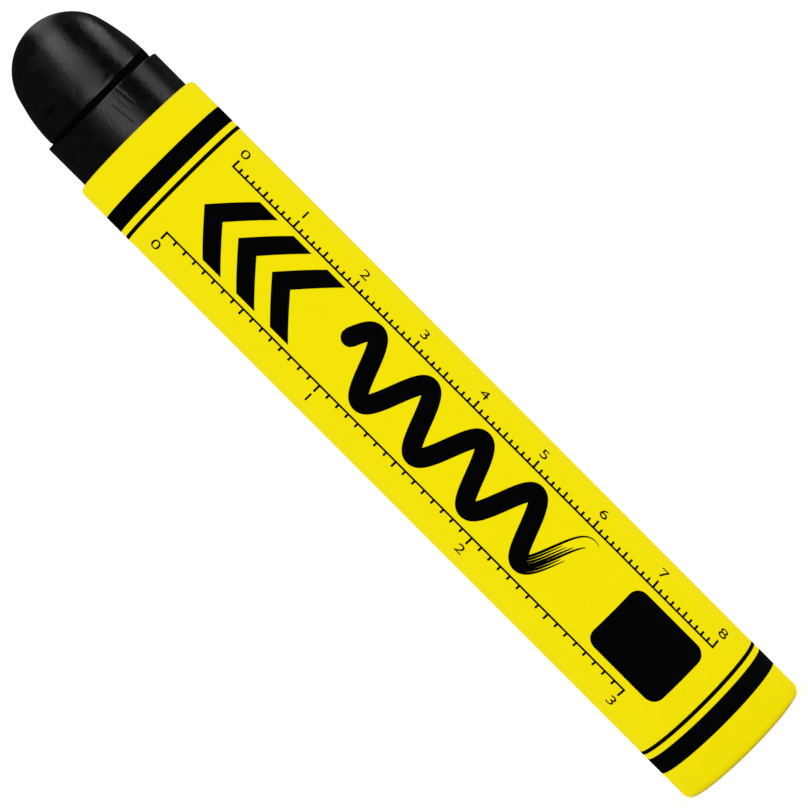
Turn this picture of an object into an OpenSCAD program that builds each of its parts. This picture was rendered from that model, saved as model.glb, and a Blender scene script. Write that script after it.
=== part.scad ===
// Solid paint stick in a paperboard sleeve.
// A cast stick of paint with a domed nose stands in a sleeve of rolled board that is
// lined with greaseproof paper and wrapped in printed paper. The wrap turns over the
// rounded mouth. At the base the whole wall is rolled in through half a turn, so that
// its cut edge points up inside and carries a loose disc, which closes the sleeve. A
// finger or a rod through the rolled rim pushes the disc and the stick forward as the
// nose wears.
// Millimetres, +Z towards the nose, origin at the middle of the base, the front at -Y.

/* [Paint stick] */
// Diameter of the stick where it runs in the sleeve
stick_d = 17; // [12:0.1:25]
// Length of full-size stick that stands out of the sleeve's mouth
collar_len = 5.8; // [2:0.1:15]
// Rounding of the collar's front edge
collar_round = 0.2; // [0.05:0.05:0.5]
// Width of the ring groove between the collar and the nose
groove_w = 0.9; // [0.3:0.05:1.5]
// Depth of the groove below the foot of the nose
groove_depth = 0.05; // [0.05:0.05:1]
// Step from the collar in to the foot of the nose
nose_step = 0.7; // [0.3:0.02:2]
// How much the round tip's radius falls short of the radius at the nose's foot
tip_inset = 0.64; // [0.2:0.02:3]
// Radius of the nose's long side curve, which runs into the round tip
nose_side_r = 20.5; // [13:0.1:40]
// Rounding of the stick's bottom edge
foot_round = 0.4; // [0.1:0.05:1]

/* [Sleeve] */
// Length of the sleeve from its base to its mouth
sleeve_len = 102.7; // [50:0.1:150]
// Thickness of the greaseproof lining
liner_t = 0.07; // [0.05:0.01:0.2]
// Thickness of each of the two board layers
ply_t = 0.28; // [0.2:0.01:0.8]
// Thickness of the printed paper wrap
wrap_t = 0.14; // [0.05:0.01:0.3]
// Width of the strip where the wrap laps over itself at the back
lap_w = 5; // [2:0.5:10]
// Width of the flat lip at the mouth, between the bore and the rounded edge
lip_w = 0.15; // [0.05:0.05:0.3]
// Inside radius of the two corners where the wall is rolled in at the base
roll_in_r = 0.1; // [0.05:0.05:1]
// Width of the flat ring between those corners, which the sleeve stands on
rim_w = 0.6; // [0.2:0.1:1.5]
// Height of the straight edge that stands up past the roll and carries the disc
edge_h = 0.6; // [0.2:0.1:3]

/* [Base disc] */
// Thickness of the loose disc that closes the base
disc_t = 1.2; // [0.5:0.1:4]

/* [Clearances] */
// Gap all round between the stick and the lining
stick_fit = 0.05; // [0.02:0.01:0.3]
// Film of glue between two layers of the sleeve
glue_gap = 0.02; // [0.01:0.01:0.05]
// Gap where the two edges of a rolled sheet meet
seam_gap = 0.2; // [0.05:0.05:1]
// Gap all round between the disc's edge and the lining
disc_fit = 0.1; // [0.05:0.05:0.5]

/* [Hidden] */
$fn = 96;
// Room that a cutting shape has past the faces it cuts
past = 1;
// How far the neck in the groove reaches into the collar and the nose that it joins
sink = 0.1;

// Radii of the layers from the bore outwards, each given at its inner face
stick_r = stick_d / 2;
bore_r = stick_r + stick_fit;
inner_ply_r = bore_r + liner_t + glue_gap;
outer_ply_r = inner_ply_r + ply_t + glue_gap;
wrap_r = outer_ply_r + ply_t + glue_gap;
sleeve_r = wrap_r + wrap_t;
wall_t = sleeve_r - bore_r;

// Directions of the hidden layers' seams, spread round the sleeve away from the wrap's lap
liner_seam = -90;
inner_seam = 180;
outer_seam = 0;

// Rolled base: the outside radius of its corners, the centres of the outer and the inner
// corner, and the hole that is left in the middle
roll_r = wall_t + roll_in_r;
outer_roll_x = sleeve_r - roll_r;
inner_roll_x = outer_roll_x - rim_w;
push_hole_r = inner_roll_x - roll_r;

// Mouth: the wrap's outer rounding, and the space under the turned-over wrap
mouth_round = wall_t - lip_w;
mouth_x = bore_r + lip_w;
mouth_z = sleeve_len - mouth_round;
under_wrap = wrap_t + glue_gap;

// Heights of the disc, the collar, the groove and the nose
disc_z = roll_r + edge_h;
stick_z = disc_z + disc_t;
collar_z = sleeve_len + collar_len;
nose_z = collar_z + groove_w;

// Nose: a round tip and a side arc that starts upright at the foot and meets the tip smoothly
nose_r = stick_r - nose_step;
groove_r = nose_r - groove_depth;
tip_r = nose_r - tip_inset;
side_x = nose_r - nose_side_r;
tip_rise = sqrt(pow(nose_side_r - tip_r, 2) - pow(side_x, 2));
tip_z = nose_z + tip_rise;
meet_z = tip_z + tip_r * tip_rise / (nose_side_r - tip_r);

// Area between two heights from the axis out to a radius
module band(r_in, r_out, low, high)
    translate([r_in, low])
        square([r_out - r_in, high - low]);

// Quarter of a disc, with its centre at the origin, that fills the corner x > 0, y > 0
module quarter_disc(r)
    intersection() {
        circle(r);
        square(r + past);
    }

// Quarter of a ring in the same corner
module quarter_ring(r_in, r_out)
    difference() {
        quarter_disc(r_out);
        circle(r_in);
    }

// Section of one layer of the sleeve, from the wall's top down through the outer corner,
// the flat ring and the inner corner to the edge that stands up inside
module layer_area(r_in, r_out, top) {
    // How deep the layer's inner and outer faces lie below the sleeve's outer face
    deep = sleeve_r - r_in;
    shallow = sleeve_r - r_out;
    band(r_in, r_out, roll_r, top);
    translate([outer_roll_x, roll_r])
        mirror([0, 1])
            quarter_ring(roll_r - deep, roll_r - shallow);
    band(inner_roll_x, outer_roll_x, shallow, deep);
    translate([inner_roll_x, roll_r])
        rotate(180)
            quarter_ring(roll_r - deep, roll_r - shallow);
    band(push_hole_r + shallow, push_hole_r + deep, roll_r, disc_z);
}

// Section of the room under the wrap where it turns over the mouth
module under_mouth_area() {
    band(0, mouth_x, 0, sleeve_len - under_wrap);
    band(mouth_x, sleeve_r - under_wrap, 0, mouth_z);
    translate([mouth_x, mouth_z])
        quarter_disc(mouth_round - under_wrap);
}

// Section of the wrap where it turns over the mouth
module mouth_turn_area() {
    translate([mouth_x, mouth_z])
        quarter_ring(mouth_round - wrap_t, mouth_round);
    band(bore_r, mouth_x, sleeve_len - wrap_t, sleeve_len);
}

// One hidden layer of the sleeve: a sheet rolled until its edges meet at a seam, and cut back
// to fit under the turned-over wrap
module hidden_layer(r_in, thickness, seam_angle)
    difference() {
        rotate_extrude()
            intersection() {
                layer_area(r_in, r_in + thickness, sleeve_len);
                under_mouth_area();
            }
        rotate(seam_angle)
            translate([0, -seam_gap / 2, -past])
                cube([sleeve_r + past, seam_gap, sleeve_len + 2 * past]);
    }

// Strip of a second thickness of paper along the wrap's back, sunk to the middle of the first
module lap_strip() {
    angle = lap_w / sleeve_r * 180 / PI;
    rotate([0, 0, 90 - angle / 2])
        rotate_extrude(angle = angle)
            band(wrap_r + wrap_t / 2, sleeve_r + wrap_t, roll_r, mouth_z);
}

// Upright cylinder's section with its top outer corner rounded
module round_top_area(r, low, high, round) {
    band(0, r - round, low, high);
    band(r - round, r, low, high - round);
    translate([r - round, high - round])
        quarter_disc(round);
}

// Section of the stick from its foot to the collar's front edge
module shank_area() {
    waist_z = sleeve_len / 2;
    round_top_area(stick_r, waist_z, collar_z, collar_round);
    translate([0, 2 * waist_z])
        mirror([0, 1])
            round_top_area(stick_r, waist_z, 2 * waist_z - stick_z, foot_round);
}

// Section of the nose: the side arc up to where it meets the tip, and the round tip, whose
// circle lies inside the side arc's below that
module nose_area() {
    intersection() {
        translate([side_x, nose_z])
            circle(nose_side_r);
        band(0, stick_r, nose_z, meet_z);
    }
    intersection() {
        translate([0, tip_z])
            circle(tip_r);
        band(0, stick_r, nose_z, tip_z + tip_r + past);
    }
}

// The cast paint: shank, collar, groove and nose in one piece
module paint_stick()
    color("#151515")
        rotate_extrude() {
            shank_area();
            band(0, groove_r, collar_z - sink, nose_z + sink);
            nose_area();
        }

// Die-cut disc that rests on the rolled edge and carries the stick
module base_disc()
    color("#a58d6b")
        translate([0, 0, disc_z])
            cylinder(h = disc_t, r = bore_r - disc_fit);

// Greaseproof paper that keeps the paint from soaking the board
module liner()
    color("#d8ccaa")
        hidden_layer(bore_r, liner_t, liner_seam);

// Inner layer of board
module inner_ply()
    color("#a8875a")
        hidden_layer(inner_ply_r, ply_t, inner_seam);

// Outer layer of board
module outer_ply()
    color("#b39264")
        hidden_layer(outer_ply_r, ply_t, outer_seam);

// Printed paper: wall, turned-over mouth, rolled base and the lap along the back
module printed_wrap()
    color("#f0e005") {
        rotate_extrude() {
            layer_area(wrap_r, sleeve_r, mouth_z);
            mouth_turn_area();
        }
        lap_strip();
    }

paint_stick();
base_disc();
liner();
inner_ply();
outer_ply();
printed_wrap();
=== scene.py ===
"""Looks of a solid paint stick in its printed paper sleeve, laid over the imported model.

Lengths are in metres. The front of the print faces -Y and the nose points along +Z. A place
on the print is given by its distance down from the sleeve's mouth and by its distance across,
round the sleeve from the middle of the front, where +X is the positive side.
"""

import math
from types import SimpleNamespace

import bmesh
import bpy
import numpy as np
from bpy.props import FloatProperty, FloatVectorProperty, IntProperty, PointerProperty
from bpy.types import NodeSocket, Operator, Panel, PropertyGroup
from mathutils import Matrix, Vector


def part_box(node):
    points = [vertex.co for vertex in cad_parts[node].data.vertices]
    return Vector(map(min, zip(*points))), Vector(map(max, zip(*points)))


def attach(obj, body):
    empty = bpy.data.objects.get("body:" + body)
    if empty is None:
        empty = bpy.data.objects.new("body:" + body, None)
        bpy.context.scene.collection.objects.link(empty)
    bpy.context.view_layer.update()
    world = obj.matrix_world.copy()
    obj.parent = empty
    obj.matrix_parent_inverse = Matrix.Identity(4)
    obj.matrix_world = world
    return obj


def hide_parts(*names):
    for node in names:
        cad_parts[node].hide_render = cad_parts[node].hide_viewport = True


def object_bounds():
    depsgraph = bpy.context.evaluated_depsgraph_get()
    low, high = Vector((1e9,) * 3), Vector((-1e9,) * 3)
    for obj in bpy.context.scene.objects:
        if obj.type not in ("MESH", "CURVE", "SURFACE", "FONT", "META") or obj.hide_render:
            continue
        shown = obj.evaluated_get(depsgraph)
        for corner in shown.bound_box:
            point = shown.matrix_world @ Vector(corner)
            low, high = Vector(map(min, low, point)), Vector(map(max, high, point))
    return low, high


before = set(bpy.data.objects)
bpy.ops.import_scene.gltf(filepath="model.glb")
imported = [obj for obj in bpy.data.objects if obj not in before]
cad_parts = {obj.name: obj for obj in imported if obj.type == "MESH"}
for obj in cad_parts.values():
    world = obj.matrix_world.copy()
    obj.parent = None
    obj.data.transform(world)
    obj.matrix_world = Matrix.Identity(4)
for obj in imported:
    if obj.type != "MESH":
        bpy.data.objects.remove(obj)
CAD_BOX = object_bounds()

bl_info = {
    "name": "Paint Stick",
    "version": (1, 0, 0),
    "blender": (4, 5, 0),
    "location": "View3D > Sidebar > Paint Stick",
    "description": "Dresses a solid paint stick in its printed paper sleeve",
    "category": "Add Mesh",
}

# Angles round the axis, from +X: the middle of the print, and the middle of the lap seam
FRONT = math.radians(-90.0)
BACK = math.radians(90.0)
# Two points closer than this are one point of an outline
SAME_POINT = 1e-9
# Edges that turn by more than this stay crisp under smooth shading
CRISP = math.radians(35.0)
# Columns of points round the axis
WRAP_COLUMNS = 512
STICK_COLUMNS = 448
DISC_COLUMNS = 192
RING_COLUMNS = 720
STAGE_COLUMNS = 96
# Rows of points up the collar, the nose's side and its tip, and along the sample stroke
COLLAR_ROWS = 52
SIDE_ROWS = 44
TIP_ROWS = 46
WAVE_ROWS = 420
# Points on one rolled corner of the wrap
ROLL_POINTS = 20


def length(name, description, default):
    """A length that a user can change, in metres."""
    return FloatProperty(name=name, description=description, default=default, unit="LENGTH", precision=6)


def colour(name, description, default):
    """A colour that a user can change, in linear red, green and blue."""
    return FloatVectorProperty(name=name, description=description, default=default, size=3,
                               subtype="COLOR", min=0.0, max=1.0)


class PAINTSTICK_PG_stick(PropertyGroup):
    """Sizes of the cast paint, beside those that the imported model's boxes give."""
    collar_len: length("Collar", "Full-size stick that stands out of the mouth", 0.0058)
    collar_round: length("Collar rounding", "Rounding of the collar's front edge", 0.0002)
    groove_w: length("Groove width", "Width of the ring groove behind the nose", 0.0009)
    groove_depth: length("Groove depth", "Depth of the groove below the nose's foot", 0.00005)
    nose_step: length("Nose step", "Step from the collar in to the nose's foot", 0.0007)
    tip_inset: length("Tip inset", "How far the tip's radius falls short of the foot's", 0.00064)
    nose_side_r: length("Nose side radius", "Radius of the nose's long side curve", 0.0205)
    foot_round: length("Foot rounding", "Rounding of the stick's bottom edge", 0.0004)
    front_drop: length("Front drop", "How far the groove lies lower at the front, as cast", 0.00046)
    side_drop: length("Side drop", "How far the collar's edge lies lower at +X, as cast", 0.0004)
    side_lift: length("Side lift", "How far the nose's foot lies higher at +X, as cast", 0.00025)
    side_fill: length("Side fill", "How much shallower the groove is at +X, as cast", 0.0001)
    dent: length("Dent depth", "Depth of the shallow dents from casting", 0.00005)
    streak: length("Streak depth", "Depth of the drag streaks along the collar", 0.00003)
    crease: length("Crease depth", "Depth of the short creases above the groove", 0.00005)


class PAINTSTICK_PG_sleeve(PropertyGroup):
    """Sizes of the paper wrap and the disc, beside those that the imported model's boxes give."""
    stick_fit: length("Stick fit", "Gap all round between the stick and the bore", 0.00005)
    wrap_t: length("Wrap thickness", "Thickness of the printed paper", 0.00014)
    lap_w: length("Lap width", "Strip where the wrap laps over itself at the back", 0.005)
    lap_ramp: length("Lap ramp", "Run over which the lap climbs its lower edge", 0.0008)
    lip_w: length("Lip width", "Flat lip between the bore and the mouth's rounding", 0.00015)
    roll_in_r: length("Roll radius", "Inside radius of the rolled base's corners", 0.0001)
    rim_w: length("Rim width", "Flat ring that the sleeve stands on", 0.0006)
    pleats: IntProperty(name="Pleats", description="Small pleats round the rolled base", default=44)
    pleat_depth: length("Pleat depth", "Depth of the pleats at the cut edge", 0.00012)
    disc_round: length("Disc rounding", "Rounding of the disc's cut edges", 0.00008)


class PAINTSTICK_PG_print(PropertyGroup):
    """Sizes of the printed marks."""
    ink_t: length("Ink thickness", "Thickness of the printed ink", 0.000012)
    end_gap: length("End gap", "Bare paper between each end and its band", 0.0045)
    band_w: length("Band width", "Width of the band round each end", 0.0024)
    line_w: length("Line width", "Width of the thin ring beside each band", 0.0005)
    line_gap: length("Line gap", "Gap between a band and its thin ring", 0.0008)
    chevrons: IntProperty(name="Chevrons", description="Marks that point at the nose", default=3)
    chevron_start: length("First chevron", "From the mouth to the first chevron's point", 0.0118)
    chevron_step: length("Chevron step", "From one chevron to the next", 0.0056)
    chevron_w: length("Chevron width", "Half of a chevron's width across", 0.0050)
    chevron_sweep: length("Chevron sweep", "How far a chevron's arms run back", 0.0044)
    chevron_t: length("Chevron stroke", "Thickness of a chevron along the sleeve", 0.0030)
    wave_start: length("Wave start", "From the mouth to the start of the sample stroke", 0.0345)
    wave_len: length("Wave length", "Length of the sample stroke along the sleeve", 0.040)
    waves: FloatProperty(name="Waves", description="Full waves in the sample stroke", default=4.5)
    wave_h: length("Wave height", "Half of the sample stroke's height across", 0.0037)
    stroke_w: length("Stroke width", "Width of the sample stroke", 0.0024)
    strands: IntProperty(name="Strands", description="Strands that the stroke breaks into", default=7)
    patch_start: length("Patch start", "From the mouth to the colour patch", 0.0795)
    patch_len: length("Patch length", "Length of the patch along the sleeve", 0.0115)
    patch_w: length("Patch width", "Half of the patch's width across", 0.0046)
    patch_round: length("Patch corner", "Radius of the patch's corners", 0.0016)
    scale_start: length("Scale start", "From the mouth to the zero of both scales", 0.0110)
    scale_across: length("Scale line", "From the middle of the front out to a scale's line", 0.0060)
    mark_w: length("Mark width", "Width of a scale's marks", 0.00028)
    mark_short: length("Short mark", "Length of a scale's short marks", 0.0006)
    mark_middle: length("Middle mark", "Length of a scale's middle marks", 0.0009)
    mark_long: length("Long mark", "Length of a scale's long marks", 0.0012)
    number_h: length("Number height", "Size of the scales' numbers", 0.0026)
    number_gap: length("Number gap", "From a long mark out to the middle of its number", 0.0015)


class PAINTSTICK_PG_finish(PropertyGroup):
    """Colours of the finishes."""
    paper: colour("Yellow paper", "Printed face of the wrap", (0.871, 0.745, 0.0016))
    # Bare paper also paints the pale rim of the mouth: rubbed wear and a painted highlight
    paper_core: colour("Bare paper", "Paper under the print, where it is rubbed", (0.90, 0.84, 0.42))
    ink: colour("Ink", "Black print", (0.0007, 0.0007, 0.0007))
    paint: colour("Paint", "Cast black paint", (0.0024, 0.0024, 0.0026))
    paint_dust: colour("Groove painted shade", "Paint that has dried dull", (0.0058, 0.0058, 0.0060))
    board: colour("Board", "Brown board of the tube", (0.40, 0.26, 0.13))
    disc: colour("Disc", "Grey-brown board of the base disc", (0.40, 0.33, 0.24))
    greaseproof: colour("Greaseproof", "Lining paper", (0.66, 0.58, 0.41))
    floor: colour("Floor", "Pale floor", (0.92, 0.92, 0.92))


class PAINTSTICK_PG_stage(PropertyGroup):
    """Camera and light."""
    camera_distance: length("Camera distance", "From the camera to the axis, measured level", 0.57)
    camera_z: length("Camera height", "Height of the camera above the base", 0.0741)
    aim_x: length("Aim X", "Where the view's middle meets the axis plane, along X", -0.00009)
    aim_z: length("Aim Z", "Where the view's middle meets the axis plane, along Z", 0.057445)
    lean: FloatProperty(name="Lean", description="Turn of the view about its own middle",
                        default=math.radians(44.95), subtype="ANGLE")
    lens: FloatProperty(name="Lens", description="Focal length on a 36 mm sensor", default=212.42)
    world: FloatProperty(name="World", description="Strength of the even white light", default=1.1)
    tent_r: length("Tent radius", "Radius of the dark tent with its light panels", 1.5)
    tent_floor: length("Tent floor", "Height of the tent's own dark floor", 0.0006)
    panel: FloatProperty(name="Panels", description="Strength of the tent's light panels", default=1.43)
    tent_glow: FloatProperty(name="Tent glow", description="Light of the tent between its panels",
                             default=0.013)
    floor_r: length("Floor radius", "Radius of the floor", 4.0)
    floor_glow: FloatProperty(name="Floor glow", description="The floor's own light to the eye", default=0.3)


def arc_points(centre, radius, start, end, count):
    """Points on an arc: the centre plus the radius times the cosine and the sine of each angle."""
    angle = np.radians(np.linspace(start, end, count))
    return np.column_stack((centre[0] + radius * np.cos(angle), centre[1] + radius * np.sin(angle)))


def outline(*runs):
    """One outline from several runs of points, without the points that two runs share."""
    points = np.vstack(runs)
    step = np.linalg.norm(np.diff(points, axis=0), axis=1)
    return points[np.append(True, step > SAME_POINT)]


def smooth_step(value):
    """0 below 0, 1 above 1, and three squares less two cubes between them."""
    value = np.clip(value, 0.0, 1.0)
    return value * value * (3.0 - 2.0 * value)


def even_angles(count):
    """Angles of a full turn, evenly spread."""
    return np.linspace(-math.pi, math.pi, count, endpoint=False)


def turn_from(angle, middle):
    """How far an angle lies from another, between half a turn back and half a turn on."""
    return np.mod(angle - middle + math.pi, 2.0 * math.pi) - math.pi


def turned_points(radius, height, angle):
    """Points round the axis: the radius times the angle's cosine and sine, at the height."""
    radius, height, angle = np.broadcast_arrays(radius, height, angle)
    return np.stack((radius * np.cos(angle), radius * np.sin(angle), height), axis=-1)


def grid_faces(rows, columns, close_rows, close_columns):
    """Quads of a grid numbered row by row; a closed direction joins its last line to its first."""
    row, column = np.meshgrid(np.arange(rows if close_rows else rows - 1),
                              np.arange(columns if close_columns else columns - 1), indexing="ij")
    next_row = (row + 1) % rows
    next_column = (column + 1) % columns
    corners = (row * columns + column, row * columns + next_column,
               next_row * columns + next_column, next_row * columns + column)
    return np.stack(corners, axis=-1).reshape(-1, 4)


def pole_faces(rows, columns):
    """Triangles that close a grid to a point below its first row and one above its last."""
    column = np.arange(columns)
    beside = (column + 1) % columns
    last = (rows - 1) * columns
    low = np.column_stack((np.full(columns, rows * columns), beside, column))
    high = np.column_stack((last + column, last + beside, np.full(columns, rows * columns + 1)))
    return np.vstack((low, high))


def solid_of_turn(radius, height, angle, low_tip, high_tip):
    """Points and faces of a closed solid round the axis, from rows of radii and heights and two poles."""
    rows, columns = np.broadcast(radius, angle).shape
    points = turned_points(radius, height, angle).reshape(-1, 3)
    points = np.vstack((points, ((0.0, 0.0, low_tip), (0.0, 0.0, high_tip))))
    faces = grid_faces(rows, columns, False, True).tolist() + pole_faces(rows, columns).tolist()
    return points, faces


def new_object(name, points, faces, material):
    """A smooth mesh object at the origin."""
    mesh = bpy.data.meshes.new(name)
    mesh.from_pydata(points.reshape(-1, 3).tolist(), [], faces, shade_flat=False)
    if mesh.validate():
        raise RuntimeError(f"{name} has bad faces")
    mesh.materials.append(material)
    made = bpy.data.objects.new(name, mesh)
    bpy.context.scene.collection.objects.link(made)
    return made


def new_piece(name, points, faces, finish, body, slot=None, replaced=None):
    """A piece with its finish that rides on a body, and may stand for a node, which it hides; the slot is not
    used.
    """
    piece = new_object(name, points, faces, made_once(finish))
    piece.data.set_sharp_from_angle(angle=CRISP)
    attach(piece, body)
    if replaced:
        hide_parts(replaced)
    return piece


def add_mask(piece, name, values):
    """Stores one number a point, row by row, for the material to read; points past the last row get 0."""
    stored = np.zeros(len(piece.data.vertices), np.float32)
    stored[:values.size] = values.ravel()
    piece.data.attributes.new(name, "FLOAT", "POINT").data.foreach_set("value", stored)


def sleeve_section(sleeve):
    """Radii and heights of the sleeve's section, worked out as the solids' are."""
    low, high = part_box("printed_wrap")
    wall = SimpleNamespace(outer_r=high.x, top=high.z, base=low.z, wrap_t=sleeve.wrap_t,
                           lap_w=sleeve.lap_w, lap_ramp=sleeve.lap_ramp)
    wall.bore_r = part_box("paint_stick")[1].x + sleeve.stick_fit
    wall.edge_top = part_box("base_disc")[0].z
    wall_t = wall.outer_r - wall.bore_r
    wall.roll_r = wall_t + sleeve.roll_in_r
    wall.outer_roll = (wall.outer_r - wall.roll_r, wall.base + wall.roll_r)
    wall.inner_roll = (wall.outer_roll[0] - sleeve.rim_w, wall.base + wall.roll_r)
    wall.hole_r = wall.inner_roll[0] - wall.roll_r
    wall.mouth_round = wall_t - sleeve.lip_w
    wall.mouth = (wall.bore_r + sleeve.lip_w, wall.top - wall.mouth_round)
    return wall


def lap_height(wall, angle):
    """How far the lap lifts the paper: one thickness between its soft lower edge and its cut edge."""
    across = turn_from(angle, BACK) * wall.outer_r
    climb = smooth_step((across + wall.lap_w / 2.0 + wall.lap_ramp) / wall.lap_ramp)
    cut = smooth_step((across - wall.lap_w / 2.0) / (wall.wrap_t / 4.0))
    return wall.wrap_t * climb * (1.0 - cut)


def wrap_outline(wall, depth):
    """Section line at a depth below the wrap's outer face, from the edge inside the base to the lip."""
    edge_x, wall_x = wall.hole_r + depth, wall.outer_r - depth
    rim_z, lip_z = wall.base + depth, wall.top - depth
    return outline(
        np.linspace((edge_x, wall.edge_top), (edge_x, wall.inner_roll[1]), 6),
        arc_points(wall.inner_roll, wall.roll_r - depth, 180.0, 270.0, ROLL_POINTS),
        np.linspace((wall.inner_roll[0], rim_z), (wall.outer_roll[0], rim_z), 5),
        arc_points(wall.outer_roll, wall.roll_r - depth, 270.0, 360.0, ROLL_POINTS),
        np.linspace((wall_x, wall.outer_roll[1]), (wall_x, wall.mouth[1]), 30),
        arc_points(wall.mouth, wall.mouth_round - depth, 0.0, 90.0, 12),
        np.linspace((wall.mouth[0], lip_z), (wall.bore_r, lip_z), 3),
    )


def wrap_angles(wall):
    """Even angles, with a few more close to the lap's cut edge so that its step is crisp."""
    cut_edge = BACK + wall.lap_w / 2.0 / wall.outer_r
    step = wall.wrap_t / 4.0 / wall.outer_r
    close = cut_edge + step * np.array((-0.2, 0.35, 0.7, 1.1))
    return np.unique(np.concatenate((even_angles(WRAP_COLUMNS), close)))


def pleat_depths(sleeve, angle):
    """Pleats: a cosine of the angle, raised to a power so that the folds are narrow, with uneven depth."""
    random = np.random.default_rng(3)
    drift = sum(random.uniform(0.2, 0.6) / k * np.sin(k * angle + random.uniform(0.0, 6.28))
                for k in (2, 3, 5, 9))
    uneven = 0.6 + 0.4 * np.sin(7.0 * angle + random.uniform(0.0, 6.28)) * np.sin(3.0 * angle)
    fold = (0.5 + 0.5 * np.cos(sleeve.pleats * angle + 4.0 * drift)) ** 3.0
    return sleeve.pleat_depth * uneven * fold


def make_wrap(sleeve):
    """The printed paper as one closed surface.

    Its outer face is the section's outer line moved along its own normal by the lap, which fades out
    on the rolled base and at the lip, less the pleats, which deepen from the rolled corner to the cut
    edge. Its inner face is the line one thickness deeper, run backwards.
    """
    wall = sleeve_section(sleeve)
    outer = wrap_outline(wall, 0.0)
    section = np.vstack((outer, wrap_outline(wall, wall.wrap_t)[::-1]))
    along = np.gradient(outer, axis=0)
    along /= np.linalg.norm(along, axis=1, keepdims=True)
    normal = np.column_stack((along[:, 1], -along[:, 0]))
    normal = np.vstack((normal, normal[::-1]))
    travel = np.append(0.0, np.cumsum(np.linalg.norm(np.diff(outer, axis=0), axis=1)))
    roll_end = travel[np.argmax(outer[:, 0] >= wall.outer_r - SAME_POINT)]
    on_roll = smooth_step(1.0 - travel / roll_end)
    lip = travel[-1] - travel
    lapped = smooth_step((outer[:, 1] - wall.base) / wall.roll_r) * smooth_step(lip / wall.mouth_round)
    lapped *= outer[:, 0] > wall.outer_roll[0]
    angle = wrap_angles(wall)
    pleats = on_roll[:, None] * pleat_depths(sleeve, angle)
    lift = np.vstack((lapped[:, None] * lap_height(wall, angle) - pleats, -pleats[::-1]))
    radius = section[:, :1] + normal[:, :1] * lift
    height = section[:, 1:] + normal[:, 1:] * lift
    points = turned_points(radius, height, angle)
    faces = grid_faces(len(section), len(angle), True, True).tolist()
    piece = new_piece("paper_wrap", points, faces, wrap_paper, "sleeve", "yellow_paper", "printed_wrap")
    # The mouth's rounding, where the paper is painted pale: rubbed wear and a painted highlight along the rim
    near_mouth = 1.0 - smooth_step(np.abs(lip - wall.mouth_round) / (0.9 * wall.mouth_round))
    add_mask(piece, "edge", np.repeat(near_mouth, len(angle)))
    add_mask(piece, "inside", np.repeat(np.arange(len(section)) >= len(outer), len(angle)))


def nose_curve(stick, foot_r, foot_z):
    """The nose's two arcs: an upright side arc from its foot, and the round tip that it runs into."""
    nose = SimpleNamespace(foot_r=foot_r, foot_z=foot_z, side_r=stick.nose_side_r)
    nose.tip_r = foot_r - stick.tip_inset
    reach = nose.side_r - nose.tip_r
    rise = math.sqrt(reach ** 2 - (nose.side_r - foot_r) ** 2)
    nose.turn = math.degrees(math.asin(rise / reach))
    nose.tip_z = foot_z + rise
    nose.meet_z = nose.tip_z + nose.tip_r * rise / reach
    nose.top = nose.tip_z + nose.tip_r
    return nose


def nose_radius(nose, height):
    """Radius of the nose at a height: upright below its foot, then the side arc, then the tip."""
    above = np.clip(height - nose.foot_z, 0.0, nose.side_r)
    side = nose.foot_r - nose.side_r + np.sqrt(nose.side_r ** 2 - above ** 2)
    tip = np.sqrt(np.clip(nose.tip_r ** 2 - (height - nose.tip_z) ** 2, 0.0, None))
    return np.where(height < nose.meet_z, side, tip)


def casting_dents(angle, height, low, high, reach_r):
    """Shallow dents between two heights: a sum of bell curves along the skin, less each row's own mean."""
    random = np.random.default_rng(5)
    count, smallest, largest = 150, 0.0005, 0.0022
    dents = np.zeros(height.shape)
    for _ in range(count):
        reach = random.uniform(smallest, largest)
        off = turn_from(angle, random.uniform(-math.pi, math.pi)) * reach_r
        far = off ** 2 + (height - random.uniform(low, high)) ** 2
        dents += random.uniform(-1.0, 0.6) * np.exp(-far / (2.0 * reach ** 2))
    return dents - dents.mean(axis=1, keepdims=True)


def drag_streaks(angle, below, full_r):
    """Fine grooves along the collar: each a narrow bell across, even along its run, and leaning a little."""
    random = np.random.default_rng(11)
    # The three at the front: the angle from it, where each starts and ends below the edge, the depth
    seen = [(0.272, -0.0002, 0.0034, 1.0), (0.174, 0.0012, 0.0034, 1.1), (0.069, 0.0010, 0.0052, 2.0)]
    others = [(turn, random.uniform(0.0, 0.002), random.uniform(0.002, 0.0055), random.uniform(0.2, 0.8))
              for turn in random.uniform(0.6, 5.7, 26)]
    # Turn for each metre down the collar, the bell's half width, and the run in and out of a streak
    lean, half, run_in, run_out = 12.0, 0.00013, 0.0003, 0.001
    cut = np.zeros(below.shape)
    for turn, start, end, depth in seen + others:
        off = turn_from(angle, FRONT + (turn + lean * below)) * full_r
        run = smooth_step((below - start) / run_in) * smooth_step((end - below) / run_out)
        cut += depth * run * np.exp(-(off / half) ** 2)
    return cut


def casting_creases(angle, above):
    """Short creases round the nose's foot: each a narrow bell along the axis that fades at both ends."""
    # The angle from the front, the height above the groove, half of the run as an angle, the depth
    creases = ((0.44, 0.00058, 0.22, 1.5), (2.3, 0.0008, 0.2, 0.8), (-2.4, 0.0015, 0.12, 0.6))
    # Rise of a crease over half of its run, and the bell's half width
    rise, half = 0.0001, 0.00018
    cut = np.zeros(above.shape)
    for turn, up, run, depth in creases:
        off = turn_from(angle, FRONT + turn) / run
        cut += depth * np.exp(-((above - up - rise * off) / half) ** 2) * smooth_step(1.3 - np.abs(off))
    return cut


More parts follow.
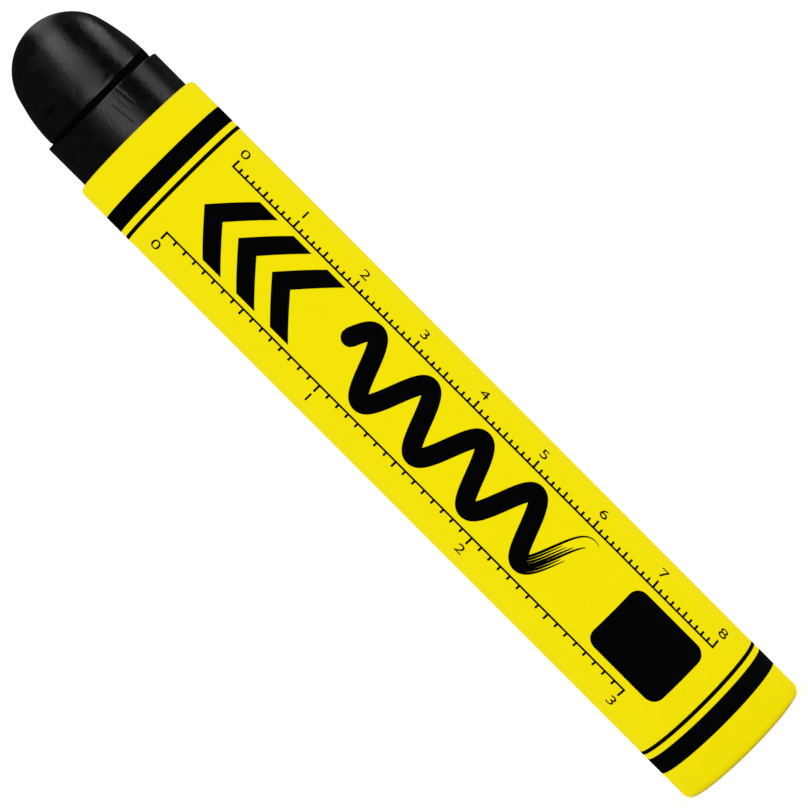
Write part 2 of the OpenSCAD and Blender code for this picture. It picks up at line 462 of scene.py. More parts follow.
def make_stick(stick):
    """The cast paint as one closed surface of revolution.

    Its rows run from the foot up the shank, over the collar, through the groove and over the nose.
    The collar's edge and the groove are cast a little out of square: their heights change with the
    sine of the angle and with the fifth power of its cosine. Dents, streaks and creases move the skin
    along the radius.
    """
    low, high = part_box("paint_stick")
    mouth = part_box("printed_wrap")[1].z
    full_r, soft, foot_round = high.x, stick.collar_round, stick.foot_round
    foot_r = full_r - stick.nose_step
    collar = mouth + stick.collar_len
    nose = nose_curve(stick, foot_r, collar + stick.groove_w)
    angle = even_angles(STICK_COLUMNS)
    front = stick.front_drop * np.sin(angle)
    beside = np.cos(angle) ** 5
    edge = collar + front - stick.side_drop * beside
    thin = soft / 10.0
    foot_lift = front + stick.side_lift * beside
    groove_low = np.maximum(edge + thin, collar + front)
    groove_high = nose.foot_z + foot_lift
    groove_r = foot_r - stick.groove_depth + stick.side_fill * np.maximum(beside, 0.0)
    rim_r = np.full(len(angle), foot_r)
    shank = outline(np.linspace((full_r / 8.0, low.z), (full_r - foot_round, low.z), 6),
                    arc_points((full_r - foot_round, low.z + foot_round), foot_round, -90.0, 0.0, 6),
                    np.linspace((full_r, low.z + foot_round), (full_r, mouth - soft), 12))
    share = np.linspace(0.0, 1.0, COLLAR_ROWS)[:, None]
    rounding = arc_points((full_r - soft, 0.0), soft, 15.0, 90.0, 6)
    side = np.linspace(nose.foot_z, nose.meet_z, SIDE_ROWS)[1:]
    tip = arc_points((0.0, nose.tip_z), nose.tip_r, nose.turn, 90.0, TIP_ROWS)[1:-1, 1]
    level = np.append(side, tip)[:, None]
    # Runs over which the foot's lift fades up the nose, and the marks of casting start past the mouth
    lift_run, skin_run = 0.004, 0.0008
    nose_z = level + foot_lift * (1.0 - smooth_step((level - nose.foot_z) / lift_run))
    # Radii and heights of the shank, the collar, its rounding and its face, the groove and the nose
    blocks = (
        (shank[:, :1], shank[:, 1:]),
        (full_r, mouth + share * (edge - soft - mouth)),
        (rounding[:, :1], edge - soft + rounding[:, 1:]),
        (((full_r - 2.0 * soft,), (foot_r,)), edge),
        ((rim_r, groove_r, groove_r, rim_r),
         (groove_low, groove_low + thin, groove_high - thin, groove_high)),
        (nose_radius(nose, nose_z), nose_z),
    )
    blocks = [np.broadcast_arrays(*block, angle)[:2] for block in blocks]
    radius, height = (np.vstack(part) for part in zip(*blocks))
    _, _, rounding_end, groove_start, groove_end, _ = np.cumsum([len(part) for part, _ in blocks])
    row = np.arange(len(radius))[:, None]
    on_collar = smooth_step((height - mouth) / skin_run) * (row < groove_start)
    on_nose = (row >= groove_end) * np.minimum(radius / foot_r, 1.0)
    radius -= on_collar * stick.streak * drag_streaks(angle, edge - height, full_r)
    radius -= on_nose * stick.crease * casting_creases(angle, height - groove_high)
    dents = casting_dents(angle, height, mouth, nose.top, foot_r)
    radius += stick.dent * dents * (on_nose + 0.4 * on_collar)
    points, faces = solid_of_turn(radius, height, angle, low.z, nose.top)
    piece = new_piece("cast_paint", points, faces, cast_paint, "stick", "paint", "paint_stick")
    # Second material: painted shade over the groove and the end of the collar's rounding
    piece.data.materials.append(made_once(groove_painted_shade))
    # The painted shade, a matt paint darker than the cast paint, covers the groove and starts a few rows
    # before the end of the collar's rounding, where it also damps the rounding's highlight
    rows_before = 4
    painted_shade_rows = np.zeros(len(faces), np.int32)
    painted_shade_rows[(rounding_end - rows_before) * len(angle):(groove_end - 1) * len(angle)] = 1
    piece.data.polygons.foreach_set("material_index", painted_shade_rows)
    # Parts of the collar that were dragged in the mould: the angle from the front, half the width
    dragged = sum(np.exp(-(turn_from(angle, FRONT + turn) / half) ** 2)
                  for turn, half in ((0.17, 0.13), (1.9, 0.2), (3.4, 0.25), (4.6, 0.15)))
    add_mask(piece, "drag", on_collar * dragged)
    # Darker patches on the nose, where the paint's colour is darkened: the angle from the front, the height
    # above the groove, half of each reach
    dark_patches = ((-0.72, 0.0026, 0.13, 0.00036), (0.43, 0.0019, 0.09, 0.0005), (2.0, 0.003, 0.12, 0.0005))
    darkened = sum(np.exp(-(turn_from(angle, FRONT + turn) / wide) ** 2
                         - ((height - groove_high - up) / tall) ** 2) for turn, up, wide, tall in dark_patches)
    add_mask(piece, "dark_patch", on_nose * darkened)


def make_disc(sleeve):
    """The base disc: a flat round board with softly pressed edges, turned about the axis."""
    low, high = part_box("base_disc")
    soft = sleeve.disc_round
    flat_r, hub_r, rows = high.x - soft, high.x / 24.0, 24
    section = outline(np.linspace((hub_r, low.z), (flat_r, low.z), rows),
                      arc_points((flat_r, low.z + soft), soft, -90.0, 0.0, 5),
                      arc_points((flat_r, high.z - soft), soft, 0.0, 90.0, 5),
                      np.linspace((flat_r, high.z), (hub_r, high.z), rows))
    angle = even_angles(DISC_COLUMNS)
    points, faces = solid_of_turn(section[:, :1], section[:, 1:], angle, low.z, high.z)
    piece = new_piece("board_disc", points, faces, chip_board, "stick", "disc_board", "base_disc")
    edge = smooth_step((section[:, 0] / high.x - 0.86) / 0.14)
    add_mask(piece, "edge", np.repeat(edge, len(angle)))


def wall_points(wall, down, across, lift):
    """Points on the sleeve's wall, lifted off the paper: the arc across over the radius is the angle."""
    angle = FRONT + across / wall.outer_r
    return turned_points(wall.outer_r + lap_height(wall, angle) + lift, wall.top - down, angle)


def film(wall, down, across, closed=False):
    """Thin closed film of ink over an area of the wall.

    Rows follow the mark and columns cross it. Each row's section runs over the area at the ink's
    face and back below the paper's face. The two ends are capped, or joined where the rows close.
    """
    down, across = np.broadcast_arrays(down, across)
    turning = (np.gradient(across, axis=0) * np.gradient(down, axis=1)
               - np.gradient(across, axis=1) * np.gradient(down, axis=0))
    if turning.sum() < 0.0:
        down, across = down[:, ::-1], across[:, ::-1]
    rows, columns = down.shape
    face = wall_points(wall, down, across, wall.ink_t)
    under = wall_points(wall, down, across, -wall.ink_t)
    points = np.concatenate((face, under[:, ::-1]), axis=1).reshape(-1, 3)
    faces = grid_faces(rows, 2 * columns, closed, True)
    if not closed:
        column = np.arange(columns - 1)
        back = 2 * columns - 1 - column
        start = np.column_stack((column, back, back - 1, column + 1))
        end = np.column_stack((column, column + 1, back - 1, back)) + (rows - 1) * 2 * columns
        faces = np.vstack((faces, start, end))
    return points, faces.tolist()


def joined(parts):
    """Points and faces of several parts as one mesh."""
    points, faces, first = [], [], 0
    for part_points, part_faces in parts:
        points.append(part_points)
        faces.extend([corner + first for corner in face] for face in part_faces)
        first += len(part_points)
    return np.vstack(points), faces


def end_bands(wall, sizes):
    """A band and a thin ring round each end of the print."""
    full = wall.top - wall.base
    inside = sizes.end_gap + sizes.band_w + sizes.line_gap
    rings = ((sizes.end_gap, sizes.band_w), (inside, sizes.line_w),
             (full - sizes.end_gap - sizes.band_w, sizes.band_w),
             (full - inside - sizes.line_w, sizes.line_w))
    across = even_angles(RING_COLUMNS)[:, None] * wall.outer_r
    return [film(wall, start + np.array((0.0, width)), across, closed=True) for start, width in rings]


def chevrons(wall, sizes):
    """Chevrons that point at the nose: each row lies back by the sweep times its share of the width."""
    share = np.linspace(-1.0, 1.0, 61)[:, None]
    stroke = np.array((0.0, 0.5, 1.0)) * sizes.chevron_t
    starts = (sizes.chevron_start + number * sizes.chevron_step for number in range(sizes.chevrons))
    return [film(wall, start + np.abs(share) * sizes.chevron_sweep + stroke, share * sizes.chevron_w)
            for start in starts]


def wave(wall, sizes):
    """A sample stroke: a sine along the sleeve, made of strands side by side that run out unevenly.

    A strand's edges and middle lie at their share of the stroke's width along the sine's own normal,
    start on a half circle across the stroke, and close towards the middle where the strand runs out.
    """
    random = np.random.default_rng(4)
    # Shares: how early a strand may end, the shortest and longest run over which it thins, what stays of it
    early, shortest, longest, hair = 0.11, 0.03, 0.08, 0.04
    steepest = sizes.wave_h * 2.0 * math.pi * sizes.waves / sizes.wave_len
    films = []
    for strand in range(sizes.strands):
        low, high = np.array((strand, strand + 1)) / sizes.strands - 0.5
        middle = (low + high) / 2.0
        sides = np.array((low, middle, high))
        start = sizes.stroke_w / 2.0 * (1.0 - np.sqrt(1.0 - (2.0 * sides) ** 2))
        start = start / sizes.wave_len / math.hypot(1.0, steepest)
        end = 1.0 - random.uniform(0.0, early)
        share = start + (end - start) * np.linspace(0.0, 1.0, WAVE_ROWS)[:, None]
        turn = 2.0 * math.pi * sizes.waves * share
        slope = steepest * np.cos(turn)
        left = np.clip((end - share) / random.uniform(shortest, longest), 0.0, 1.0)
        thin = np.sqrt(left) * (1.0 - hair) + hair
        side = (middle + (sides - middle) * thin) * sizes.stroke_w / np.sqrt(1.0 + slope ** 2)
        down = sizes.wave_start + sizes.wave_len * share - side * slope
        films.append(film(wall, down, sizes.wave_h * np.sin(turn) + side))
    return films


def patch(wall, sizes):
    """A colour patch: a rectangle whose rows narrow along a quarter circle near both of its ends."""
    half = sizes.patch_len / 2.0
    along = half * np.sin(np.radians(np.linspace(-90.0, 90.0, 61)))[:, None]
    corner = np.clip(np.abs(along) - half + sizes.patch_round, 0.0, None)
    width = sizes.patch_w - sizes.patch_round + np.sqrt(sizes.patch_round ** 2 - corner ** 2)
    return [film(wall, sizes.patch_start + half + along, np.linspace(-1.0, 1.0, 25) * width)]


def number_mark(wall, size, text, down, across):
    """A plain number, read with the nose to the left: text made a mesh, then bent round the wall."""
    curve = bpy.data.curves.new("number", "FONT")
    curve.body = text
    curve.align_x = "CENTER"
    curve.align_y = "CENTER"
    curve.resolution_u = 5
    curve.extrude = 1.0
    maker = bpy.data.objects.new("number", curve)
    bpy.context.scene.collection.objects.link(maker)
    mesh = bpy.data.meshes.new_from_object(maker.evaluated_get(bpy.context.evaluated_depsgraph_get()))
    work = bmesh.new()
    work.from_mesh(mesh)
    bmesh.ops.remove_doubles(work, verts=work.verts, dist=0.0001)
    # Cuts across the number, close enough for its straight strokes to follow the round wall
    for level in np.linspace(-0.5, 0.5, 21):
        bmesh.ops.bisect_plane(work, geom=[*work.verts, *work.edges, *work.faces],
                               plane_co=(0.0, level, 0.0), plane_no=(0.0, 1.0, 0.0))
    bmesh.ops.triangulate(work, faces=work.faces)
    bmesh.ops.recalc_face_normals(work, faces=work.faces)
    work.verts.index_update()
    flat = np.array([point.co for point in work.verts]) * (size, size, wall.ink_t)
    faces = [[point.index for point in face.verts] for face in work.faces]
    work.free()
    bpy.data.objects.remove(maker)
    bpy.data.curves.remove(curve)
    bpy.data.meshes.remove(mesh)
    return wall_points(wall, down + flat[:, 0], across + flat[:, 1], flat[:, 2]), faces


def scale_marks(wall, sizes, side, step, count, long_every, middle_every):
    """A ruler's line, marks and numbers on one side of the front."""
    reach = np.linspace(0.0, 1.0, 5)[:, None]
    width = np.array((-0.5, 0.5)) * sizes.mark_w
    line = sizes.scale_start + np.array((0.0, step * count)) + width
    marks = [film(wall, line, side * (sizes.scale_across - sizes.mark_w * reach))]
    number_place = sizes.scale_across + sizes.mark_long + sizes.number_gap
    for number in range(count + 1):
        down = sizes.scale_start + number * step
        size = sizes.mark_middle if number % middle_every == 0 else sizes.mark_short
        if number % long_every == 0:
            size = sizes.mark_long
        marks.append(film(wall, down + width, side * (sizes.scale_across + size * reach)))
        if number % long_every == 0:
            text = str(number // long_every)
            marks.append(number_mark(wall, sizes.number_h, text, down, side * number_place))
    return marks


def scales(wall, sizes):
    """A centimetre scale on the +X side of the front and an inch scale on the other."""
    millimetre, sixteenth = 0.001, 0.0254 / 16.0
    return (scale_marks(wall, sizes, 1.0, millimetre, 80, 10, 5)
            + scale_marks(wall, sizes, -1.0, sixteenth, 48, 16, 8))


class Nodes:
    """Adds shader nodes to one tree. A value is a number, a colour, or the output that it comes from."""

    def __init__(self, tree):
        self.tree = tree

    def feed(self, socket, value):
        """Links a socket from an output, or sets it."""
        if isinstance(value, NodeSocket):
            self.tree.links.new(value, socket)
        else:
            socket.default_value = value

    def add(self, kind, inputs=None, **settings):
        """Outputs of a new node, whose inputs are fed by name or number."""
        made = self.tree.nodes.new("ShaderNode" + kind)
        for key, value in settings.items():
            setattr(made, key, value)
        for key, value in (inputs or {}).items():
            self.feed(made.inputs[key], value)
        return made.outputs

    def group(self, build, inputs):
        """Outputs of a shader group, which is built and named after its function on its first use."""
        name = build.__name__.replace("_", " ").capitalize()
        tree = bpy.data.node_groups.get(name) or new_group(name, build, inputs)
        return self.add("Group", inputs, node_tree=tree)

    def math(self, operation, first, second=0.0):
        """One step of arithmetic."""
        return self.add("Math", {0: first, 1: second}, operation=operation)[0]

    def plus(self, first, *others):
        """A sum of values."""
        for other in others:
            first = self.math("ADD", first, other)
        return first

    def minus(self, first, second):
        """A value less another."""
        return self.math("SUBTRACT", first, second)

    def times(self, first, *others):
        """A product of values."""
        for other in others:
            first = self.math("MULTIPLY", first, other)
        return first

    def spread(self, value, low, high, to_low=0.0, to_high=1.0, smooth=False):
        """A value moved from one range to another, and held inside it."""
        ranges = {"Value": value, "From Min": low, "From Max": high, "To Min": to_low, "To Max": to_high}
        kind = "SMOOTHSTEP" if smooth else "LINEAR"
        return self.add("MapRange", ranges, interpolation_type=kind)["Result"]

    def band(self, value, middle, half, soft):
        """1 within a half width of the middle, falling smoothly to 0 over a soft edge."""
        off = self.math("ABSOLUTE", self.minus(value, middle))
        return self.spread(off, half, half + soft, 1.0, 0.0, smooth=True)

    def mix(self, share, first, second):
        """A colour between two, by a share."""
        first, second = (part if isinstance(part, NodeSocket) else (*part, 1.0) for part in (first, second))
        return self.add("Mix", {0: share, 6: first, 7: second}, data_type="RGBA")[2]

    def noise(self, vector, scale, detail, roughness):
        """A noise value on some coordinates."""
        inputs = {"Vector": vector, "Scale": scale, "Detail": detail, "Roughness": roughness}
        return self.add("TexNoise", inputs)[0]

    def mask(self, name):
        """A number that the mesh stores at its points."""
        return self.add("Attribute", attribute_name=name)["Fac"]


def new_group(name, build, inputs):
    """A shader group with named sockets, from a function that takes its nodes and its inputs."""
    tree = bpy.data.node_groups.new(name, "ShaderNodeTree")
    for label in inputs:
        kind = "NodeSocketVector" if label == "Vector" else "NodeSocketFloat"
        tree.interface.new_socket(name=label, in_out="INPUT", socket_type=kind)
    nodes = Nodes(tree)
    made = build(nodes, tree.nodes.new("NodeGroupInput").outputs)
    for label in made:
        tree.interface.new_socket(name=label, in_out="OUTPUT", socket_type="NodeSocketFloat")
    ends = tree.nodes.new("NodeGroupOutput").inputs
    for label, value in made.items():
        nodes.feed(ends[label], value)
    return tree


def paper_fibre(nodes, given):
    """Matted fibres: a fine noise and a stretched one for the height, and a broad one for the tint."""
    place = given["Vector"]
    scale = nodes.math("DIVIDE", 1.0, given["Size"])
    lying = {"Vector": place, "Scale": (1.0, 1.0, 0.22), "Rotation": (0.35, 0.2, 0.0)}
    fine = nodes.noise(place, scale, 3.0, 0.6)
    fibre = nodes.noise(nodes.add("Mapping", lying)[0], nodes.times(scale, 0.7), 2.0, 0.55)
    broad = nodes.noise(place, nodes.times(scale, 0.06), 3.0, 0.6)
    tint = nodes.plus(nodes.times(broad, 0.65), nodes.times(fibre, 0.35))
    return {"Height": nodes.plus(nodes.times(fine, 0.55), nodes.times(fibre, 0.45)),
            "Tint": nodes.spread(tint, 0.32, 0.68)}


def rubbed_edge(nodes, given):
    """Wear along an edge: the edge's mask broken up by a noise, then cut to a soft threshold."""
    scale = nodes.math("DIVIDE", 1.0, given["Size"])
    broken = nodes.spread(nodes.noise(given["Vector"], scale, 4.0, 0.65), 0.3, 0.7)
    reach = nodes.plus(nodes.times(given["Edge"], 0.75), nodes.times(broken, 0.45))
    low = nodes.minus(1.15, given["Amount"])
    cut = nodes.spread(reach, low, nodes.plus(low, 0.3), smooth=True)
    return {"Mask": nodes.times(cut, given["Edge"])}


def mottle(nodes, given):
    """Cloudy variation: a broad noise and a finer one, each with its contrast raised."""
    scale = nodes.math("DIVIDE", 1.0, given["Size"])
    clouds = nodes.noise(given["Vector"], scale, 4.0, 0.58)
    grain = nodes.noise(given["Vector"], nodes.times(scale, 9.0), 3.0, 0.62)
    return {"Clouds": nodes.spread(clouds, 0.33, 0.67), "Grain": nodes.spread(grain, 0.3, 0.7)}


class Surface(Nodes):
    """The nodes of a new material, whose patterns lie on Object coordinates."""

    def __init__(self, name, specular):
        self.material = bpy.data.materials.new(name)
        self.material.use_nodes = True
        super().__init__(self.material.node_tree)
        self.shader = self.tree.nodes["Principled BSDF"].inputs
        self.shader["Specular IOR Level"].default_value = specular
        self.place = self.add("TexCoord")["Object"]

    def fibre(self, size):
        """Height and tint of paper fibres of that size."""
        return self.group(paper_fibre, {"Vector": self.place, "Size": size})

    def mottle(self, size):
        """Clouds of that size, and a finer grain."""
        return self.group(mottle, {"Vector": self.place, "Size": size})

    def rubbed(self, size, amount):
        """Wear on the mesh's own edge mask."""
        return self.group(rubbed_edge, {"Vector": self.place, "Edge": self.mask("edge"),
                                        "Size": size, "Amount": amount})["Mask"]

    def finished(self, tone, roughness, height, depth):
        """The material, with its colour, its roughness, and a fine relief of that depth in metres."""
        bump = self.add("Bump", {"Strength": 1.0, "Distance": depth, "Height": height})["Normal"]
        for label, value in (("Base Color", tone), ("Roughness", roughness), ("Normal", bump)):
            self.feed(self.shader[label], value)
        return self.material


def shaded(base, factor):
    """A colour times a factor."""
    return tuple(part * factor for part in base)


def wrap_paper(finish):
    """Matt printed paper: fibre relief, a slight cloudiness, and pale paper round the mouth's rim, which is
    rubbed wear and a painted highlight along the rim.
    """
    nodes = Surface("wrap_paper", 0.015)
    fibre = nodes.fibre(0.00024)
    clouds = nodes.mottle(0.006)["Clouds"]
    even = nodes.mix(fibre["Tint"], shaded(finish.paper, 0.975), finish.paper)
    cloudy = nodes.mix(nodes.times(clouds, 0.5), even, shaded(finish.paper, 0.985))
    # Pale paper round the mouth's rim: rubbed wear, and a painted highlight along the rim
    wear_and_painted_highlight = nodes.mix(nodes.times(nodes.rubbed(0.0005, 0.36), 0.05), cloudy, finish.paper_core)
    tone = nodes.mix(nodes.mask("inside"), wear_and_painted_highlight, finish.paper_core)
    return nodes.finished(tone, nodes.spread(fibre["Tint"], 0.0, 1.0, 0.66, 0.8), fibre["Height"], 0.000012)


def black_ink(finish):
    """Flat black print, which takes the paper's fibre relief and thins a little over it."""
    nodes = Surface("black_ink", 0.012)
    fibre = nodes.fibre(0.00024)
    tone = nodes.mix(nodes.spread(fibre["Height"], 0.62, 0.78), finish.ink, shaded(finish.ink, 5.0))
    return nodes.finished(tone, nodes.spread(fibre["Tint"], 0.0, 1.0, 0.6, 0.75), fibre["Height"], 0.000009)


def cast_paint(finish):
    """Waxy cast paint: satin, with dull clouds, a fine grain, and lines where it dragged in the mould."""
    nodes = Surface("cast_paint", 0.5)
    clouds = nodes.mottle(0.0034)
    fine = nodes.mottle(0.0012)["Clouds"]
    dull = nodes.mix(nodes.times(clouds["Clouds"], fine), finish.paint, finish.paint_dust)
    # Darker patches on the nose: the paint's colour darkened to a tenth
    tone = nodes.mix(nodes.mask("dark_patch"), dull, shaded(finish.paint, 0.1))
    rough = nodes.plus(nodes.spread(clouds["Clouds"], 0.0, 1.0, 0.08, 0.13),
                       nodes.spread(clouds["Grain"], 0.4, 0.9, 0.0, 0.1))
    pulled = nodes.add("Mapping", {"Vector": nodes.place, "Scale": (1.0, 1.0, 0.03)})[0]
    lines = nodes.times(nodes.noise(pulled, 3600.0, 2.0, 0.6), nodes.mask("drag"))
    relief = nodes.plus(nodes.times(fine, 0.45), nodes.times(clouds["Grain"], 1.2), nodes.times(lines, 1.6))
    return nodes.finished(tone, rough, relief, 0.00001)


def groove_painted_shade(finish):
    """Painted shade for the groove: a matt paint darker than the cast paint and with little sheen, standing
    in for the shadow in the groove.
    """
    nodes = Surface("groove_painted_shade", 0.03)
    clouds = nodes.mottle(0.0012)
    # Painted shade: the paint's colour darkened to 0.15 and 0.4 of itself
    tone = nodes.mix(clouds["Grain"], shaded(finish.paint, 0.15), shaded(finish.paint, 0.4))
    return nodes.finished(tone, nodes.spread(clouds["Clouds"], 0.0, 1.0, 0.8, 0.95), clouds["Grain"], 0.00001)


def tube_board(finish):
    """Brown board: long fibres, clouds of darker pulp and a rough face."""
    nodes = Surface("tube_board", 0.2)
    fibre = nodes.fibre(0.0004)
    pulp = nodes.times(nodes.mottle(0.003)["Grain"], 0.4)
    tone = nodes.mix(fibre["Tint"], shaded(finish.board, 0.72), shaded(finish.board, 1.15))
    tone = nodes.mix(pulp, tone, shaded(finish.board, 0.6))
    return nodes.finished(tone, nodes.spread(fibre["Height"], 0.3, 0.7, 0.78, 0.92), fibre["Height"], 0.00003)


def chip_board(finish):
    """Grey-brown chipboard: flecks, pressed fibres and a darker, rubbed cut edge."""
    nodes = Surface("chip_board", 0.2)
    fibre = nodes.fibre(0.0005)
    flecks = nodes.spread(nodes.mottle(0.0028)["Grain"], 0.62, 0.8, 0.0, 0.7)
    tone = nodes.mix(fibre["Tint"], shaded(finish.disc, 0.7), shaded(finish.disc, 1.2))
    tone = nodes.mix(flecks, tone, shaded(finish.disc, 0.4))
    tone = nodes.mix(nodes.times(nodes.rubbed(0.0009, 0.6), 0.6), tone, shaded(finish.disc, 0.55))
    return nodes.finished(tone, nodes.spread(fibre["Height"], 0.3, 0.7, 0.8, 0.95), fibre["Height"], 0.00004)


def lining_paper(finish):
    """Smooth lining paper with a faint sheen and oily clouds."""
    nodes = Surface("lining_paper", 0.35)
    fibre = nodes.fibre(0.0006)
    clouds = nodes.mottle(0.007)["Clouds"]
    tone = nodes.mix(fibre["Tint"], shaded(finish.greaseproof, 0.9), shaded(finish.greaseproof, 1.1))
    tone = nodes.mix(nodes.times(clouds, 0.5), tone, shaded(finish.greaseproof, 0.7))
    return nodes.finished(tone, nodes.spread(clouds, 0.0, 1.0, 0.55, 0.4), fibre["Height"], 0.000008)


def made_once(finish):
    """The material that a function above makes under its own name, made on its first use."""
    return bpy.data.materials.get(finish.__name__) or finish(bpy.context.scene.paintstick_finish)


def put_on(node_name, finish):
    """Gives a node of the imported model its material."""
    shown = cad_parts[node_name]
    shown.data.materials.clear()
    shown.data.materials.append(made_once(finish))


def tent_material(stage, centre):
    """A dark tent with two soft panels: one in front that runs overhead, and one beside +X that leans back.

    Each panel is a band of directions from the tent's middle, found from the tent's own coordinates.
    The front one narrows and fades from the front over the top to the back. The one beside leans back
    and brightens as it rises.
    """
    made = bpy.data.materials.new("tent")
    made.use_nodes = True
    made.cycles.emission_sampling = "NONE"
    made.node_tree.nodes.clear()
    nodes = Nodes(made.node_tree)
    plus, minus, times, spread, band = nodes.plus, nodes.minus, nodes.times, nodes.spread, nodes.band
    ray = nodes.add("VectorMath", {0: nodes.add("TexCoord")["Object"], 1: centre}, operation="SUBTRACT")[0]
    x, y, z = nodes.add("SeparateXYZ", {0: nodes.add("VectorMath", {0: ray}, operation="NORMALIZE")[0]})
    # The front panel: its middle and half width across, with a longer fall on the +X side, and its light
    middle = minus(spread(z, 0.04, 0.2, 0.06, 0.2), spread(y, 0.1, 0.9, 0.0, 0.12))
    half = times(spread(y, -1.0, -0.5, 0.37, 0.28), spread(y, -0.5, 0.9, 1.0, 0.4))
    off = nodes.math("DIVIDE", minus(x, middle), half)
    off = nodes.math("MINIMUM", off, times(off, 0.84))
    rising = plus(spread(z, 0.04, 0.17, 0.92, 0.62), spread(z, 0.2, 0.68, 0.0, 0.74))
    front = times(band(off, 0.0, 0.25, 1.25), rising,
                  spread(y, -0.3, 0.2, 1.0, 0.46), spread(y, 0.2, 0.9, 1.0, 0.32))
    # A faint tail beside it, on the -X side
    tail = times(band(x, -0.25, 0.03, 0.45), 0.16, spread(y, -0.4, 0.05, 1.0, 0.0, smooth=True))
    # The panel beside: its near and far edges, its light, and a faint glow behind it
    near = plus(spread(z, 0.05, 0.3, -0.31, -0.2), spread(z, 0.3, 0.5, 0.0, 0.3))
    far = plus(spread(z, 0.05, 0.24, 0.17, 0.31), spread(z, 0.26, 0.38, 0.0, 0.25))
    beside = times(spread(minus(y, near), -0.08, 0.08, smooth=True),
                   spread(minus(y, far), -0.16, 0.16, 1.0, 0.0, smooth=True),
                   spread(z, 0.1, 0.4, 0.65, 1.0), spread(z, 0.38, 0.6, 1.0, 0.0, smooth=True))
    beside = plus(beside, times(band(y, 0.6, 0.2, 0.3), 0.02))
    beside = times(beside, spread(x, 0.2, 0.45, smooth=True))
    light = times(plus(front, tail, beside), stage.panel)
    glow = nodes.add("Emission", {"Strength": plus(light, stage.tent_glow)})[0]
    nodes.add("OutputMaterial", {"Surface": glow})
    return made


def floor_material(stage, finish):
    """Pale floor: a matt white that the object shades, and a little of its own light to the eye."""
    made = bpy.data.materials.new("floor")
    made.use_nodes = True
    nodes = Nodes(made.node_tree)
    path = nodes.add("LightPath")
    seen = nodes.plus(path["Is Camera Ray"], path["Is Glossy Ray"], path["Is Transmission Ray"])
    glow = nodes.times(nodes.math("MINIMUM", seen, 1.0), stage.floor_glow)
    settings = {"Base Color": (*finish.floor, 1.0), "Roughness": 0.9, "Specular IOR Level": 0.0,
                "Emission Color": (1.0, 1.0, 1.0, 1.0), "Emission Strength": glow}
    for label, value in settings.items():
        nodes.feed(made.node_tree.nodes["Principled BSDF"].inputs[label], value)
    return made


def add_camera(scene, stage):
    """A camera before the front, aimed at the axis and turned about its own view."""
    data = bpy.data.cameras.new("camera")
    data.lens = stage.lens
    data.clip_start = 0.01
    scene.camera = bpy.data.objects.new("camera", data)
    scene.collection.objects.link(scene.camera)
    place = Matrix.Translation((stage.aim_x, -stage.camera_distance, stage.camera_z))
    down = math.atan2(stage.camera_z - stage.aim_z, stage.camera_distance)
    level = Matrix.Rotation(math.radians(90.0) - down, 4, "X")
    scene.camera.matrix_world = place @ level @ Matrix.Rotation(-stage.lean, 4, "Z")


def add_world(scene, stage):
    """Even white light from all sides."""
    scene.world = bpy.data.worlds.new("even_light")
    scene.world.use_nodes = True
    scene.world.cycles.sampling_method = "NONE"
    background = scene.world.node_tree.nodes["Background"].inputs
    background["Color"].default_value = (1.0, 1.0, 1.0, 1.0)
    background["Strength"].default_value = stage.world


def add_tent(stage):
    """A ball round the nose, cut flat above the floor, that only reflections show."""
    middle = (0.0, 0.0, CAD_BOX[1].z)
    rings = np.radians(np.linspace(-89.0, 89.0, 61))[:, None]
    radius = stage.tent_r * np.cos(rings)
    height = np.maximum(middle[2] + stage.tent_r * np.sin(rings), stage.tent_floor)
    top = middle[2] + stage.tent_r
    points, faces = solid_of_turn(radius, height, even_angles(STAGE_COLUMNS), stage.tent_floor, top)
    tent = new_object("tent", points, faces, tent_material(stage, middle))
    tent.visible_camera = False
    tent.visible_diffuse = False
    tent.visible_shadow = False


def add_floor(stage, finish):
    """A round floor: rings about the middle of the base, closed to a point."""
    reach = np.array((0.02, 0.1, 0.4, 1.0))[:, None] * stage.floor_r
    points = turned_points(reach, 0.0, even_angles(STAGE_COLUMNS)).reshape(-1, 3)
    column = np.arange(STAGE_COLUMNS)
    hub = np.column_stack((np.full(STAGE_COLUMNS, len(points)), column, (column + 1) % STAGE_COLUMNS))
    faces = grid_faces(len(reach), STAGE_COLUMNS, False, True)[:, ::-1].tolist() + hub.tolist()
    points = np.vstack((points, (0.0, 0.0, 0.0)))
    new_object("floor", points, faces, floor_material(stage, finish))


class PAINTSTICK_OT_stage(Operator):
    """Makes the camera, the floor and the light"""
    bl_idname = "paintstick.stage"
    bl_label = "Stage"

    def execute(self, context):
        stage = context.scene.paintstick_stage
        context.scene.view_settings.view_transform = "Standard"
        add_camera(context.scene, stage)
        add_world(context.scene, stage)
        add_tent(stage)
        add_floor(stage, context.scene.paintstick_finish)
        return {"FINISHED"}


class PAINTSTICK_OT_stick(Operator):
    """Makes the cast paint"""
    bl_idname = "paintstick.stick"
    bl_label = "Cast paint"

    def execute(self, context):
        make_stick(context.scene.paintstick_stick)
        return {"FINISHED"}


class PAINTSTICK_OT_wrap(Operator):
    """Makes the yellow paper wrap"""
    bl_idname = "paintstick.wrap"
    bl_label = "Paper wrap"

    def execute(self, context):
        make_wrap(context.scene.paintstick_sleeve)
        return {"FINISHED"}


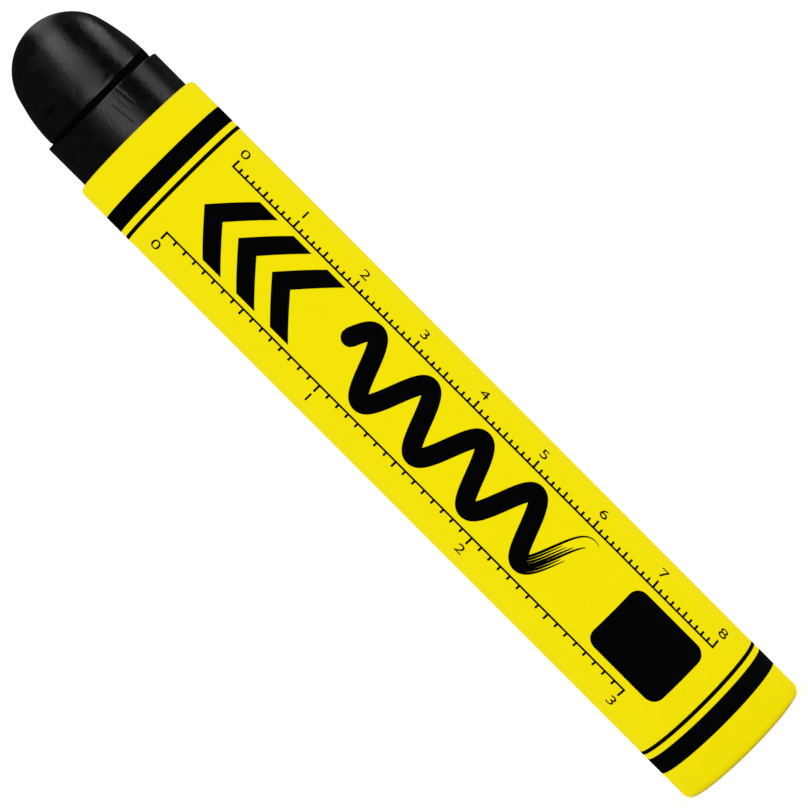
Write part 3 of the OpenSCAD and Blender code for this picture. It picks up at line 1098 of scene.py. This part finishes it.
class PAINTSTICK_OT_print(Operator):
    """Makes the printed bands, marks and scales"""
    bl_idname = "paintstick.print"
    bl_label = "Print"

    def execute(self, context):
        sizes = context.scene.paintstick_print
        wall = sleeve_section(context.scene.paintstick_sleeve)
        wall.ink_t = sizes.ink_t
        for marks in (end_bands, chevrons, wave, patch, scales):
            new_piece(f"ink_{marks.__name__}", *joined(marks(wall, sizes)), black_ink, "sleeve")
        return {"FINISHED"}


class PAINTSTICK_OT_board(Operator):
    """Makes the base disc, and dresses the layers inside the wrap"""
    bl_idname = "paintstick.board"
    bl_label = "Board and lining"

    def execute(self, context):
        make_disc(context.scene.paintstick_sleeve)
        put_on("inner_ply", tube_board)
        put_on("outer_ply", tube_board)
        put_on("liner", lining_paper)
        return {"FINISHED"}


GROUPS = {
    "paintstick_stick": PAINTSTICK_PG_stick,
    "paintstick_sleeve": PAINTSTICK_PG_sleeve,
    "paintstick_print": PAINTSTICK_PG_print,
    "paintstick_finish": PAINTSTICK_PG_finish,
    "paintstick_stage": PAINTSTICK_PG_stage,
}
OPERATORS = (PAINTSTICK_OT_stage, PAINTSTICK_OT_stick, PAINTSTICK_OT_wrap,
             PAINTSTICK_OT_print, PAINTSTICK_OT_board)


class PAINTSTICK_PT_sidebar(Panel):
    """Lists the steps and the sizes in the 3D view's sidebar"""
    bl_idname = "PAINTSTICK_PT_sidebar"
    bl_label = "Paint Stick"
    bl_space_type = "VIEW_3D"
    bl_region_type = "UI"
    bl_category = "Paint Stick"

    def draw(self, context):
        for operator in OPERATORS:
            self.layout.operator(operator.bl_idname)
        for group, kind in GROUPS.items():
            column = self.layout.column(align=True)
            for name in kind.__annotations__:
                column.prop(getattr(context.scene, group), name)


CLASSES = (*GROUPS.values(), *OPERATORS, PAINTSTICK_PT_sidebar)


def register():
    """Registers the classes and puts the settings on the scene."""
    for each in CLASSES:
        bpy.utils.register_class(each)
    for name, kind in GROUPS.items():
        setattr(bpy.types.Scene, name, PointerProperty(type=kind))


def unregister():
    """Takes the settings and the classes away again."""
    for name in GROUPS:
        delattr(bpy.types.Scene, name)
    for each in reversed(CLASSES):
        bpy.utils.unregister_class(each)


def main():
    """Makes the stage and every piece."""
    register()
    bpy.ops.paintstick.stage()
    bpy.ops.paintstick.stick()
    bpy.ops.paintstick.wrap()
    bpy.ops.paintstick.print()
    bpy.ops.paintstick.board()


if __name__ == "__main__":
    main()
